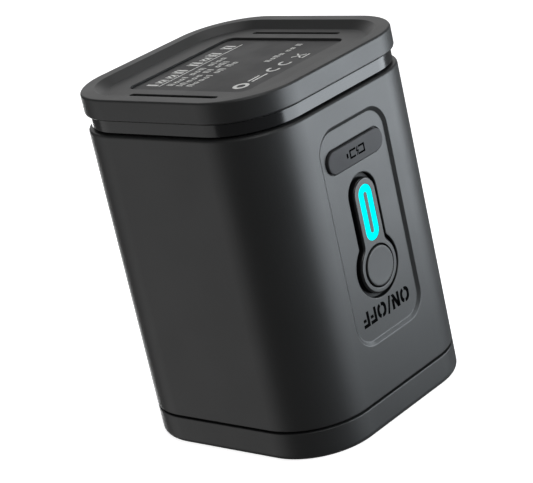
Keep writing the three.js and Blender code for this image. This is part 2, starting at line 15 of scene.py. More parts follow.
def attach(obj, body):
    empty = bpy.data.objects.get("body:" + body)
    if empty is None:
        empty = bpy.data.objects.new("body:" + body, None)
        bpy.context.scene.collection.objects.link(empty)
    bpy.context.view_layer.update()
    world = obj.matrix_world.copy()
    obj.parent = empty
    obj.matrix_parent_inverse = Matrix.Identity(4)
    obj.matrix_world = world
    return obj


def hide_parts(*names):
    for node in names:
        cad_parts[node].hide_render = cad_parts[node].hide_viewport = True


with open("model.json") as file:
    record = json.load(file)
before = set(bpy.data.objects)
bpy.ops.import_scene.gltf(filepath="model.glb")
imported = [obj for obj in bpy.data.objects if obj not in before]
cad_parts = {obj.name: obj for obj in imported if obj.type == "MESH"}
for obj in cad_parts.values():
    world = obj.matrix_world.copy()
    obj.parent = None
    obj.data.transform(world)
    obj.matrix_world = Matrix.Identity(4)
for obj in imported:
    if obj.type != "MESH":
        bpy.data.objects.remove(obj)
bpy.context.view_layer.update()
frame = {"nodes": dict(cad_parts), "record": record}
scene = bpy.context.scene

MM = 0.001

# Case, the same figures as the frame's
WIDTH = 50.0
HEIGHT = 71.0
FACE = WIDTH / 2
CORNER = 13.3
CORNER_CENTRE = FACE - CORNER
SEAM_LOW = 5.7
SEAM_HIGH = 6.15
SHELL_TOP = 63.9
NECK_HALF = 24.2
NECK_LOW = 64.2
NECK_HIGH = 66.7
CAP_LOW = 66.8
SCREW_OFFSET = 17.8

# Label end: the floor of its recess, and the plate that lies in a pocket below that floor
DECK = HEIGHT - 1.35
POCKET_FLOOR = DECK - 0.8
LABEL_LOW = POCKET_FLOOR + 0.05
LABEL_TOP = LABEL_LOW + 0.35
LABEL_HALF = 14.75
SLOT_OFFSET = 18.0

# Control face
PANEL_HALF = 10.1
PANEL_LOW = 16.5
PANEL_HIGH = 59.6
PANEL_CORNER = 4.9
PANEL_FLOOR = 24.45
PANEL_DRAFT = 0.75
FLAP_HEIGHT = 53.1
FLAP_SEAT = PANEL_FLOOR - 0.25
BUTTON_HEIGHT = 30.3
BUTTON_RADIUS = 3.9
KEY_NECK = 2.9
KEY_ROUND = 4.95
KEY_BLEND = 2.0
KEY_TOP = 44.6
KEY_FACE = 25.0
KEY_SLOPE = 0.35
KEY_FOOT = KEY_FACE - 0.5
GROOVE = 1.2
GROOVE_FLOOR = 23.6
LIGHT_LOW = 37.4
LIGHT_OUTER = 1.95
LIGHT_INNER = 0.42
LIGHT_FLOOR = KEY_FACE - 0.9
LETTERING_HEIGHT = 21.8

# Air ports
SOCKET_RADIUS = 10.3
SOCKET_LIP = 13.0
INTAKE_HEIGHT = 36.0
GRILLE_BAR = 1.2

# Ink lies this far into the face that it marks, so that no gap shows
INK_SINK = 0.005
INK_THICKNESS = 0.02

# Neighbouring faces that meet at a smaller angle than this, in degrees, are shaded as one
SMOOTH_ANGLE = 32


# Outlines: each returns points round a closed curve.
# Their number doesn't depend on the size, so outlines of different sizes can be lofted.


def arc(cx, cy, radius, start, end, steps):
    """Points on an arc, in degrees, both ends included."""
    points = []
    for i in range(steps + 1):
        a = math.radians(start + (end - start) * i / steps)
        points.append((cx + radius * math.cos(a), cy + radius * math.sin(a)))
    return points


def rounded(half_x, half_y, radius, cx=0.0, cy=0.0, steps=20):
    dx, dy = half_x - radius, half_y - radius
    points = arc(cx + dx, cy - dy, radius, -90, 0, steps)
    points += arc(cx + dx, cy + dy, radius, 0, 90, steps)
    points += arc(cx - dx, cy + dy, radius, 90, 180, steps)
    points += arc(cx - dx, cy - dy, radius, 180, 270, steps)
    return points


def section(half, steps=24):
    """The body's outline at a half width. Its corner centres never move."""
    return rounded(half, half, half - CORNER_CENTRE, steps=steps)


def disc(radius, cx=0.0, cy=0.0, steps=96):
    return arc(cx, cy, radius, 0, 360, steps)[:-1]


def stadium(radius, low, high, steps=28):
    return arc(0, high, radius, 0, 180, steps) + arc(0, low, radius, 180, 360, steps)


def keyhole(grow):
    neck, around, blend = KEY_NECK + grow, KEY_ROUND + grow, KEY_BLEND - grow
    rise = math.sqrt((around + blend) ** 2 - (neck + blend) ** 2)
    turn = math.degrees(math.atan2(rise, neck + blend))
    points = arc(0, BUTTON_HEIGHT, around, 180 - turn, 360 + turn, 56)
    points += arc(neck + blend, BUTTON_HEIGHT + rise, blend, 180 + turn, 180, 10)[1:]
    points += arc(0, KEY_TOP, neck, 0, 180, 32)
    points += arc(-neck - blend, BUTTON_HEIGHT + rise, blend, 0, -turn, 10)[:-1]
    return points


# Placing an outline's points: level is the height, or the distance out of the front or rear face


def upright(points, level):
    return [Vector((x, y, level)) for x, y in points]


def on_front(points, level):
    return [Vector((x, -level, z)) for x, z in points]


def on_rear(points, level):
    return [Vector((-x, level, z)) for x, z in points]


# Meshes


def shade(bm):
    """Smooth shading, except across the sharper edges."""
    limit = math.radians(SMOOTH_ANGLE)
    for face in bm.faces:
        face.smooth = True
    for edge in bm.edges:
        if len(edge.link_faces) == 2:
            edge.smooth = edge.calc_face_angle(0) < limit


def mesh_object(name, bm, material=None):
    """An object in metres from a mesh in millimetres, its faces turned outwards."""
    bmesh.ops.remove_doubles(bm, verts=bm.verts, dist=1e-5)
    bmesh.ops.recalc_face_normals(bm, faces=bm.faces)
    shade(bm)
    mesh = bpy.data.meshes.new(name)
    bm.to_mesh(mesh)
    bm.free()
    mesh.transform(Matrix.Scale(MM, 4))
    made = bpy.data.objects.new(name, mesh)
    scene.collection.objects.link(made)
    if material:
        mesh.materials.append(material)
    return made


def add_loft(bm, rings, closed=False):
    """Quads between rings of equal length.

    Each side has a flat end, unless closed joins the last ring to the first.
    """
    rows = [[bm.verts.new(point) for point in ring] for ring in rings]
    count = len(rows[0])
    pairs = list(zip(rows, rows[1:]))
    if closed:
        pairs.append((rows[-1], rows[0]))
    for low, high in pairs:
        for i in range(count):
            j = (i + 1) % count
            bm.faces.new((low[i], low[j], high[j], high[i]))
    if not closed:
        bm.faces.new(list(reversed(rows[0])))
        bm.faces.new(rows[-1])


def loft(name, rings, material=None, closed=False):
    bm = bmesh.new()
    add_loft(bm, rings, closed)
    return mesh_object(name, bm, material)


def fillet(start, middle, end, steps=5):
    """Profile points along a rounded corner from start to end, where middle is the sharp corner."""
    points = []
    for i in range(steps + 1):
        t = math.pi / 2 * i / steps
        a, b = 1 - math.sin(t), 1 - math.cos(t)
        points.append(
            tuple(m + (s - m) * a + (e - m) * b for s, m, e in zip(start, middle, end))
        )
    return points


def eased(base, *corner):
    """A fillet whose first coordinates are measured from a base radius or half width."""
    return [(base + offset, level) for offset, level in fillet(*corner)]


def boolean(piece, cutters, operation="DIFFERENCE"):
    """Applies booleans and takes the cutters away."""
    for cutter in cutters:
        modifier = piece.modifiers.new("cut", "BOOLEAN")
        modifier.operation = operation
        modifier.solver = "EXACT"
        modifier.object = cutter
        bpy.context.view_layer.update()
        evaluated = piece.evaluated_get(bpy.context.evaluated_depsgraph_get())
        cut = bpy.data.meshes.new_from_object(evaluated)
        piece.modifiers.clear()
        old, piece.data = piece.data, cut
        bpy.data.meshes.remove(old)
        mesh = cutter.data
        bpy.data.objects.remove(cutter)
        bpy.data.meshes.remove(mesh)
    bm = bmesh.new()
    bm.from_mesh(piece.data)
    bmesh.ops.dissolve_degenerate(bm, dist=1e-7, edges=bm.edges)
    shade(bm)
    bm.to_mesh(piece.data)
    bm.free()
    return piece


def settle_normals(piece):
    """Keeps large flat faces flat beside their fillets."""
    weighted = piece.modifiers.new("weighted", "WEIGHTED_NORMAL")
    weighted.keep_sharp = True
    weighted.weight = 100
    return piece


def place(piece, body, slot, *nodes):
    """Puts a piece on a body, and in place of the frame's nodes, if any. The slot is not used."""
    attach(piece, body)
    if nodes:
        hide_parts(*nodes)
    return piece


# Materials


def new_material(name, color, roughness, metallic=0.0, **sockets):
    material = bpy.data.materials.new(name)
    material.use_nodes = True
    shader = material.node_tree.nodes["Principled BSDF"]
    shader.inputs["Base Color"].default_value = (*color, 1)
    shader.inputs["Roughness"].default_value = roughness
    shader.inputs["Metallic"].default_value = metallic
    for socket, value in sockets.items():
        shader.inputs[socket.replace("_", " ")].default_value = value
    return material


def noise(tree, scale, detail=3.0, roughness=0.5):
    coordinates = tree.nodes.new("ShaderNodeTexCoord")
    texture = tree.nodes.new("ShaderNodeTexNoise")
    texture.inputs["Scale"].default_value = scale
    texture.inputs["Detail"].default_value = detail
    texture.inputs["Roughness"].default_value = roughness
    tree.links.new(coordinates.outputs["Object"], texture.inputs["Vector"])
    return texture.outputs["Fac"]


def mapped(tree, value, low, high, source_low=0.3, source_high=0.7):
    node = tree.nodes.new("ShaderNodeMapRange")
    node.inputs["From Min"].default_value = source_low
    node.inputs["From Max"].default_value = source_high
    node.inputs["To Min"].default_value = low
    node.inputs["To Max"].default_value = high
    tree.links.new(value, node.inputs["Value"])
    return node.outputs["Result"]


def two_tone(tree, value, first, second):
    ramp = tree.nodes.new("ShaderNodeValToRGB")
    ramp.color_ramp.elements[0].position = 0.35
    ramp.color_ramp.elements[0].color = (*first, 1)
    ramp.color_ramp.elements[1].position = 0.65
    ramp.color_ramp.elements[1].color = (*second, 1)
    tree.links.new(value, ramp.inputs["Fac"])
    return ramp.outputs["Color"]


def bump(tree, value, strength, distance):
    node = tree.nodes.new("ShaderNodeBump")
    node.inputs["Strength"].default_value = strength
    node.inputs["Distance"].default_value = distance
    tree.links.new(value, node.inputs["Height"])
    return node.outputs["Normal"]


def moulded(
    name, color, roughness, grain, depth, spread=0.12, variation=0.06, metallic=0.0, **sockets
):
    """A surface with its own fine grain, a slow drift of gloss, and a slight mottle of colour.

    grain is the size of the texture in millimetres and depth its height in micrometres.
    """
    material = new_material(name, color, roughness, metallic, **sockets)
    tree = material.node_tree
    shader = tree.nodes["Principled BSDF"]
    fine = noise(tree, 1000 / grain, 4, 0.6)
    slow = noise(tree, 90, 3, 0.55)
    darker = [c * (1 - variation) for c in color]
    lighter = [c * (1 + variation) for c in color]
    tree.links.new(two_tone(tree, fine, darker, lighter), shader.inputs["Base Color"])
    gloss = mapped(tree, slow, roughness - spread / 2, roughness + spread / 2)
    tree.links.new(gloss, shader.inputs["Roughness"])
    tree.links.new(bump(tree, fine, 1.0, depth * 1e-6), shader.inputs["Normal"])
    return material


case_finish = moulded("case_plastic", (0.021, 0.0215, 0.0218), 0.42, 0.3, 7, spread=0.05)
key_finish = moulded("key_plastic", (0.021, 0.0215, 0.022), 0.42, 0.3, 5, spread=0.05)
gloss_finish = moulded(
    "gloss_black", (0.009, 0.0092, 0.01), 0.19, 0.9, 0.8, spread=0.05, IOR=1.5
)
# painted shade: a near-black finish that stands in for the shade deep in the grooves and slots
painted_shade_finish = moulded(
    "painted_shade_black", (0.004, 0.004, 0.0045), 0.5, 0.4, 3, Specular_IOR_Level=0.25
)
silicone_finish = moulded(
    "silicone", (0.036, 0.0355, 0.038), 0.7, 0.2, 5, Specular_IOR_Level=0.4
)
dark_finish = moulded("dark_plastic", (0.014, 0.014, 0.0155), 0.5, 0.35, 6)
white_finish = moulded("white_plastic", (0.62, 0.62, 0.59), 0.45, 0.4, 5, variation=0.03)
steel_finish = moulded("steel", (0.42, 0.43, 0.45), 0.33, 0.25, 2, metallic=1.0)
foil_finish = moulded("cell_foil", (0.5, 0.51, 0.53), 0.38, 1.2, 12, metallic=1.0)
brass_finish = moulded("brass", (0.6, 0.44, 0.16), 0.35, 0.3, 2, metallic=1.0)
copper_finish = moulded("copper", (0.55, 0.24, 0.1), 0.38, 0.3, 8, metallic=1.0)
rubber_finish = moulded("rubber", (0.014, 0.014, 0.016), 0.72, 0.25, 8)
board_finish = moulded("board_green", (0.015, 0.1, 0.04), 0.36, 1.1, 6)
red_finish = moulded("wire_red", (0.42, 0.015, 0.012), 0.48, 0.3, 3)
black_finish = moulded("wire_black", (0.008, 0.008, 0.009), 0.48, 0.3, 3)
ink_finish = moulded("white_ink", (0.9, 0.9, 0.88), 0.55, 0.25, 2)
mark_finish = moulded(
    "black_ink", (0.0015, 0.0015, 0.0017), 0.95, 0.25, 1, Specular_IOR_Level=0.02
)


def light_material():
    material = new_material("light_guide", (0.0, 0.3, 0.32), 0.6, Specular_IOR_Level=0.0)
    tree = material.node_tree
    shader = tree.nodes["Principled BSDF"]
    glow = two_tone(tree, noise(tree, 260, 1), (0.0, 0.84, 0.89), (0.0, 0.89, 0.94))
    tree.links.new(glow, shader.inputs["Emission Color"])
    shader.inputs["Emission Strength"].default_value = 1.0
    return material


light_finish = light_material()

SLOT_FINISH = {
    "case_plastic": case_finish,
    "gloss_black": gloss_finish,
    "silicone": silicone_finish,
    "dark_plastic": dark_finish,
    "white_plastic": white_finish,
    "steel": steel_finish,
    "cell_foil": foil_finish,
    "brass": brass_finish,
    "copper": copper_finish,
    "rubber": rubber_finish,
    "board_green": board_finish,
    "light_guide": light_finish,
    "wire_red": red_finish,
    "wire_black": black_finish,
}
for row in frame["record"]["subparts"]:
    node = frame["nodes"][row["node"]]
    node.data.materials.clear()
    node.data.materials.append(SLOT_FINISH[row["material_slot"]])


# Case


def main_shell():
    outer = [
        (22.6, SEAM_HIGH),
        *eased(FACE, (-0.25, SEAM_HIGH), (0, SEAM_HIGH), (0, SEAM_HIGH + 0.25), 3),
        *eased(FACE, (0, SHELL_TOP - 0.6), (0, SHELL_TOP), (-0.6, SHELL_TOP), 5),
        (23.2, SHELL_TOP),
    ]
    inner = [(23.2, SEAM_HIGH + 2), (22.6, SEAM_HIGH + 1.4)]
    rings = [upright(section(half), z) for half, z in outer + inner]
    shell = loft("shell", rings, case_finish, closed=True)
    middle = (PANEL_LOW + PANEL_HIGH) / 2
    half_height = (PANEL_HIGH - PANEL_LOW) / 2

    def panel(grow):
        return rounded(PANEL_HALF + grow, half_height + grow, PANEL_CORNER + grow, 0, middle, 24)

    wall = [
        *fillet((-0.87, PANEL_FLOOR), (-PANEL_DRAFT, PANEL_FLOOR), (-0.67, PANEL_FLOOR + 0.06), 4),
        *fillet((-0.08, FACE - 0.06), (0, FACE), (0.16, FACE), 5),
        (0.16, FACE + 1),
    ]
    recess = loft("recess", [on_front(panel(grow), level) for grow, level in wall])
    # the groove round the bezel, its mouth eased by a small fillet
    mouth = [
        (GROOVE, 21.0),
        *fillet((GROOVE, PANEL_FLOOR - 0.2), (GROOVE, PANEL_FLOOR), (GROOVE + 0.2, PANEL_FLOOR), 5),
        (GROOVE + 0.2, FACE),
    ]
    key = loft("key", [on_front(keyhole(grow), level) for grow, level in mouth])
    seat = [
        (0.2, FLAP_SEAT),
        *fillet((0.2, PANEL_FLOOR - 0.12), (0.2, PANEL_FLOOR), (0.36, PANEL_FLOOR), 4),
        (0.36, FACE),
    ]
    pocket = loft("pocket", [on_front(flap_outline(grow), level) for grow, level in seat])
    port_outline = rounded(4.8, 1.95, 1.9, 0, FLAP_HEIGHT, 12)
    port = loft("port", [on_front(port_outline, 21), on_front(port_outline, FACE)])
    peg_outline = rounded(0.7, 1.5, 0.4, 7.4, FLAP_HEIGHT, 6)
    peg = loft("peg", [on_front(peg_outline, 21), on_front(peg_outline, FACE)])
    rear = [(12.25, 21), (12.25, 26)]
    intake = loft("intake", [on_rear(disc(r, 0, INTAKE_HEIGHT), level) for r, level in rear])
    boolean(shell, [recess, key, pocket, port, peg, intake])
    # painted shade: whatever is cut deeper than the panel's floor gets a near-black finish,
    # standing in for the shade in the grooves and slots
    shell.data.materials.append(painted_shade_finish)
    for polygon in shell.data.polygons:
        x, y, _ = polygon.center / MM
        if abs(x) < PANEL_HALF and -PANEL_FLOOR + 0.19 < y < -20:
            polygon.material_index = 1
    return settle_normals(shell)


def flap_outline(grow):
    return rounded(8.1 + grow, 2.2 + grow, 2.1 + grow, 0, FLAP_HEIGHT, 16)


def port_end_cap():
    profile = [
        *eased(FACE, (-1.3, 0), (0, 0), (0, 1.3), 8),
        *eased(FACE, (0, SEAM_LOW - 0.2), (0, SEAM_LOW), (-0.2, SEAM_LOW), 3),
        (22.9, SEAM_LOW),
        (22.9, 7.9),
        (22.1, 7.9),
        (22.1, 2.0),
    ]
    rings = [upright(section(half), z) for half, z in profile]
    cap = loft("base_cap", rings, case_finish)
    opening = [(13.5, -1), (13.5, 0), (13.2, 0.3), (13.2, 4)]
    cutters = [loft("opening", [upright(disc(r), z) for r, z in opening])]
    for x in (-SCREW_OFFSET, SCREW_OFFSET):
        for y in (-SCREW_OFFSET, SCREW_OFFSET):
            recess = [(2.8, -1), (2.8, 0), (2.55, 0.25), (2.55, 1.75), (1.15, 1.75), (1.15, 4)]
            rings = [upright(disc(r, x, y, 40), z) for r, z in recess]
            cutters.append(loft("screw_recess", rings))
    boolean(cap, cutters)
    return settle_normals(cap)


def label_end_cap():
    outside = [
        (19.7, 63.2),
        (21.2, 63.2),
        (21.2, CAP_LOW),
        *eased(FACE, (-0.5, CAP_LOW), (0, CAP_LOW), (0, CAP_LOW + 0.5), 5),
        *eased(FACE, (0, HEIGHT - 0.5), (0, HEIGHT), (-0.5, HEIGHT), 6),
    ]
    inside = [
        (22.3, HEIGHT),
        (22.2, HEIGHT - 0.03),
        (20.3, DECK + 0.12),
        (20.15, DECK + 0.03),
        (19.95, DECK),
        (17.0, DECK),
        (17.0, 68.0),
        (19.7, 68.0),
    ]
    rings = [upright(section(half), z) for half, z in outside + inside]
    cap = loft("top_cap", rings, case_finish, closed=True)
    deck = loft("deck", [upright(section(17.5), 68.0), upright(section(17.5), DECK)])
    boolean(cap, [deck], "UNION")
    # the pocket of the label and the two slots beside it, their mouths eased
    mouth = [*fillet((0.0, DECK - 0.12), (0.0, DECK), (0.12, DECK), 3), (0.12, HEIGHT)]
    pocket = [(0.0, POCKET_FLOOR), *mouth]
    rings = [upright(rounded(15 + g, 15 + g, 2 + g, steps=10), z) for g, z in pocket]
    cutters = [loft("pocket", rings)]
    slot = [(0.0, 67.0), *mouth]
    for x in (-SLOT_OFFSET, SLOT_OFFSET):
        rings = [upright(rounded(0.5 + g, 11 + g, 0.49 + g, x, steps=8), z) for g, z in slot]
        cutters.append(loft("slot", rings))
    boolean(cap, cutters)
    return settle_normals(cap)


def neck_band():
    profile = [
        (21.5, 60.5),
        (22.9, 60.5),
        (22.9, NECK_LOW),
        *eased(NECK_HALF, (-0.2, NECK_LOW), (0, NECK_LOW), (0, NECK_LOW + 0.2), 3),
        *eased(NECK_HALF, (0, NECK_HIGH - 0.15), (0, NECK_HIGH), (-0.15, NECK_HIGH), 3),
        (21.5, NECK_HIGH),
    ]
    rings = [upright(section(half), z) for half, z in profile]
    return settle_normals(loft("neck", rings, gloss_finish, closed=True))


def label_plate():
    edge = fillet((0, LABEL_TOP - 0.12), (0, LABEL_TOP), (-0.12, LABEL_TOP), 3)
    rings = [
        upright(rounded(LABEL_HALF + g, LABEL_HALF + g, 1.75 + g, steps=10), z)
        for g, z in [(0, LABEL_LOW), *edge]
    ]
    return settle_normals(loft("label", rings, dark_finish))


place(main_shell(), "pump", "case_plastic", "main_shell")
place(port_end_cap(), "pump", "case_plastic", "port_end_cap")
place(label_end_cap(), "pump", "case_plastic", "label_end_cap")
place(neck_band(), "pump", "gloss_black", "neck_band")
place(label_plate(), "pump", "dark_plastic", "label_plate")


# Control face


def bezel():
    top = [
        (GROOVE - 0.15, 22.0),
        (GROOVE - 0.15, GROOVE_FLOOR),
        (KEY_SLOPE, GROOVE_FLOOR),
        *fillet((KEY_SLOPE, KEY_FOOT), (KEY_SLOPE, KEY_FACE), (-0.1, KEY_FACE), 8),
    ]
    rings = [on_front(keyhole(grow), level) for grow, level in top]
    made = loft("key_bezel", rings, key_finish)
    around = BUTTON_RADIUS + 0.22
    hole = [
        (around, 20),
        *eased(around, (0, KEY_FACE - 0.2), (0, KEY_FACE), (0.2, KEY_FACE), 5),
        (around + 0.2, 27),
    ]
    cutter = loft("hole", [on_front(disc(r, 0, BUTTON_HEIGHT), z) for r, z in hole])
    corners = [
        (LIGHT_OUTER, LIGHT_FLOOR),
        (LIGHT_OUTER, 27),
        (LIGHT_INNER, 27),
        (LIGHT_INNER, LIGHT_FLOOR),
    ]
    light_rings = [on_front(stadium(r, LIGHT_LOW, KEY_TOP), level) for r, level in corners]
    light_pocket = loft("light_pocket", light_rings, closed=True)
    boolean(made, [cutter, light_pocket])
    # the sloping edges are glossy, and the foot in the groove gets the near-black painted shade
    made.data.materials.append(gloss_finish)
    made.data.materials.append(painted_shade_finish)
    for polygon in made.data.polygons:
        if polygon.center.y > -KEY_FOOT * MM:
            polygon.material_index = 2
        elif abs(polygon.normal.y) < 0.95:
            polygon.material_index = 1
    return settle_normals(made)


def light_ring():
    inner, outer = LIGHT_INNER + 0.04, LIGHT_OUTER - 0.04
    profile = [
        (inner, LIGHT_FLOOR + 0.05),
        (outer, LIGHT_FLOOR + 0.05),
        (outer, KEY_FACE - 0.08),
        (outer - 0.06, KEY_FACE - 0.02),
        (inner + 0.06, KEY_FACE - 0.02),
        (inner, KEY_FACE - 0.08),
    ]
    rings = [on_front(stadium(r, LIGHT_LOW, KEY_TOP), level) for r, level in profile]
    return settle_normals(loft("light_ring", rings, light_finish, closed=True))


def button():
    top = KEY_FACE + 0.2
    profile = [
        (1.6, 20.45),
        (1.6, 21.0),
        (4.9, 21.0),
        (4.9, 21.8),
        (BUTTON_RADIUS, 21.8),
        (BUTTON_RADIUS, top - 0.25),
        *eased(BUTTON_RADIUS, (0, top - 0.22), (0, top), (-0.22, top), 5),
        (BUTTON_RADIUS - 0.5, top - 0.01),
        (2.4, top - 0.03),
        (1.2, top - 0.035),
        (0.4, top - 0.035),
    ]
    rings = [on_front(disc(r, 0, BUTTON_HEIGHT), level) for r, level in profile]
    return settle_normals(loft("push_button", rings, key_finish))


def flap():
    profile = [
        (0.0, FLAP_SEAT + 0.1),
        *fillet((0.0, FACE - 0.24), (0.0, FACE), (-0.24, FACE), 6),
        (-0.7, FACE),
    ]
    rings = [on_front(flap_outline(grow), level) for grow, level in profile]
    cover = loft("port_cover", rings, silicone_finish)

    def lip(grow):
        return rounded(4.6 + grow, 1.75 + grow, 1.7 + grow, 0, FLAP_HEIGHT, 10)

    lip_profile = [(-1.0, 24.5), (-1.0, 23.62), (-0.9, 23.5), (-0.15, 23.5), (0, 23.65), (0, 24.5)]
    rings = [on_front(lip(grow), level) for grow, level in lip_profile]
    plug = loft("plug", rings, silicone_finish, closed=True)
    boolean(cover, [plug], "UNION")
    return settle_normals(cover)


place(bezel(), "pump", "gloss_black", "button_bezel")
place(light_ring(), "pump", "light_guide")
place(button(), "button", "case_plastic", "power_button")
place(flap(), "flap", "silicone", "charging_port_flap")


# Marks: thin raised ink


def ink(name, outlines, put, level, material):
    """One piece of flat ink from any number of closed outlines."""
    bm = bmesh.new()
    for outline in outlines:
        add_loft(bm, [put(outline, level), put(outline, level + INK_THICKNESS)])
    return mesh_object(name, bm, material)


def bar(x0, y0, x1, y1, width):
    """A straight stroke with square ends."""
    along = Vector((x1 - x0, y1 - y0)).normalized()
    side = Vector((-along.y, along.x)) * (width / 2)
    return [
        (x0 - side.x, y0 - side.y),
        (x1 - side.x, y1 - side.y),
        (x1 + side.x, y1 + side.y),
        (x0 + side.x, y0 + side.y),
    ]


def band(centre_line, width):
    """Short straight strokes that follow a curve."""
    return [bar(*a, *b, width) for a, b in zip(centre_line, centre_line[1:])]


def ring_outline(points_out, points_in):
    """A flat ring as quads between two outlines of equal length."""
    count = len(points_out)
    quads = []
    for i in range(count):
        j = (i + 1) % count
        quads.append([points_in[i], points_out[i], points_out[j], points_in[j]])
    return quads


def oval(cx, cy, half_x, half_y, power=2.4, steps=40):
    points = []
    for i in range(steps):
        a = math.tau * i / steps
        c, s = math.cos(a), math.sin(a)
        x = math.copysign(abs(c) ** (2 / power), c)
        y = math.copysign(abs(s) ** (2 / power), s)
        points.append((cx + half_x * x, cy + half_y * y))
    return points


def letter_strokes(letter, x, height, stroke):
    """Outlines of one plain capital, its lower left corner at x, 0, and its width."""
    if letter == "O":
        width = 2.7
        out = oval(x + width / 2, height / 2, width / 2, height / 2)
        inner = oval(x + width / 2, height / 2, width / 2 - stroke, height / 2 - stroke, 2.3)
        quads = ring_outline(out, inner)
        breaks = (8, 9, 30, 31)
        return [quad for i, quad in enumerate(quads) if i not in breaks], width
    if letter == "N":
        width = 2.3
        left, right = x + stroke / 2, x + width - stroke / 2
        return [
            bar(left, 0, left, height, stroke),
            bar(right, stroke * 1.3, right, height, stroke),
            [
                (x, height),
                (x + stroke * 1.15, height),
                (x + width, 0),
                (x + width - stroke * 1.15, 0),
            ],
        ], width
    if letter == "/":
        width = 1.2
        return [bar(x + 0.15, -0.2, x + width - 0.15, height + 0.2, stroke * 0.8)], width
    width = 1.85
    return [
        bar(x + stroke / 2, 0, x + stroke / 2, height, stroke),
        bar(x + stroke, height - stroke / 2, x + width, height - stroke / 2, stroke),
        bar(x + stroke + 0.25, height * 0.52, x + width * 0.95, height * 0.52, stroke * 0.9),
    ], width


def switch_lettering():
    """The switch's two plain words, upside down on the control face."""
    height, stroke, gap = 3.0, 0.68, 0.34
    outlines, x = [], 0.0
    for letter in "ON/OFF":
        strokes, width = letter_strokes(letter, x, height, stroke)
        outlines += strokes
        x += width + gap
    right, top = (x - gap) / 2, LETTERING_HEIGHT + height / 2
    turned = [[(right - px, top - py) for px, py in outline] for outline in outlines]
    return ink("switch_lettering", turned, on_front, PANEL_FLOOR - INK_SINK, mark_finish)


def battery_mark():
    """A battery outline with a gap in its long sides and a bolt across it."""
    z, line, half = FLAP_HEIGHT, 0.36, 0.86
    edge = half - line / 2
    strokes = [
        bar(-1.75, z - half, -1.75, z + half, line),
        bar(2.35, z - half, 2.35, z + half, line),
        bar(-1.75, z + edge, -0.05, z + edge, line),
        bar(-1.75, z - edge, -0.25, z - edge, line),
        bar(0.75, z + edge, 2.35, z + edge, line),
        bar(0.6, z - edge, 2.35, z - edge, line),
        bar(-2.6, z - 0.45, -2.6, z + 0.45, 0.45),
        bar(0.5, z + 0.8, 0.1, z + 0.02, 0.26),
        bar(0.02, z + 0.02, 0.72, z + 0.02, 0.24),
        bar(0.62, z + 0.02, 0.2, z - 0.8, 0.26),
    ]
    return ink("battery_mark", strokes, on_front, FACE - INK_SINK, mark_finish)


def label_print():
    """Rows of short strokes in place of words, with a heading, a rule and four plain signs."""
    outlines = []

    def row(left, right, baseline, height, stroke, pattern):
        """Upright strokes, joined here and there, that look like print from a distance.

        In a pattern, | and n are tall and the rest are low, n and o are joined at the top,
        o is also joined at the bottom, and _ is a gap.
        """
        x, i = left, 0
        while x < right:
            kind = pattern[i % len(pattern)]
            i += 1
            if kind == "_":
                x += height * 0.55
                continue
            tall = height if kind in "|n" else height * 0.72
            outlines.append(bar(x, baseline, x, baseline + tall, stroke))
            if kind in "no":
                start, x = x, x + height * 0.42
                upper, lower = baseline + tall - stroke / 2, baseline + stroke / 2
                outlines.append(bar(x, baseline, x, baseline + tall, stroke))
                outlines.append(bar(start, upper, x, upper, stroke))
                if kind == "o":
                    outlines.append(bar(start, lower, x, lower, stroke))
            x += height * 0.3 + stroke

    row(-11.8, 10.6, 9.6, 2.9, 0.68, "|oon_non_nooo|")
    outlines.append(bar(-12.4, 8.9, 12.0, 8.9, 0.26))
    row(-11.6, 3.6, 6.0, 1.6, 0.3, "noo|_oon_o|oo")
    row(-11.6, 2.4, 3.5, 1.6, 0.3, "|nooo_n|_on")
    row(-11.6, 1.6, 1.0, 1.6, 0.3, "nooo|_on_noo")
    row(2.5, 12.2, -6.2, 1.4, 0.3, "nono_oo_noon")
    y = -10.6
    outlines += [
        *ring_outline(disc(1.6, -10.9, y, 20), disc(0.85, -10.9, y, 20)),
        bar(-8.4, y - 0.6, -4.0, y - 0.6, 0.45),
        bar(-8.4, y + 0.4, -5.2, y + 0.4, 0.45),
        *band(arc(-1.6, y, 1.15, 60, 300, 10), 0.5),
        *band(arc(1.9, y, 1.15, 60, 300, 10), 0.5),
        bar(5.0, y - 1.1, 7.0, y + 1.1, 0.36),
        bar(5.0, y + 1.1, 7.0, y - 1.1, 0.36),
        bar(4.8, y - 1.7, 7.2, y - 1.7, 0.36),
    ]
    return ink("label_print", outlines, upright, LABEL_TOP, ink_finish)


place(switch_lettering(), "pump", "dark_plastic")
place(battery_mark(), "flap", "dark_plastic")
place(label_print(), "pump", "white_plastic")


# Sockets


def intake_socket():
    profile = [
        (SOCKET_RADIUS, 19.0),
        (11.4, 19.0),
        (11.4, 17.6),
        (12.1, 17.6),
        (12.1, 25.05),
        (SOCKET_LIP, 25.05),
        *eased(SOCKET_LIP, (0, 25.22), (0, 25.45), (-0.23, 25.45), 4),
        *eased(SOCKET_RADIUS, (0.4, 25.45), (0, 25.45), (0, 25.05), 4),
    ]
    rings = [on_rear(disc(r, 0, INTAKE_HEIGHT), level) for r, level in profile]
    return settle_normals(loft("intake_ring", rings, gloss_finish, closed=True))


def intake_grille():
    rings = [(11.15, 17.7), (11.3, 17.85), (11.3, 18.75), (11.15, 18.9)]
    rings = [on_rear(disc(r, 0, INTAKE_HEIGHT), level) for r, level in rings]
    plate = loft("grille", rings, dark_finish)
    cutters = []
    for inner, outer, count in ((2.2, 5.5, 4), (6.5, 9.8, 8)):
        span = 360 / count - math.degrees(GRILLE_BAR / ((inner + outer) / 2))
        for i in range(count):
            middle = 360 * (i + 0.5) / count
            start, end = middle - span / 2, middle + span / 2
            outline = arc(0, 0, outer, start, end, 14) + arc(0, 0, inner, end, start, 14)
            outline = [(x, y + INTAKE_HEIGHT) for x, y in outline]
            cutters.append(loft("opening", [on_rear(outline, 17), on_rear(outline, 19.5)]))
    return settle_normals(boolean(plate, cutters))


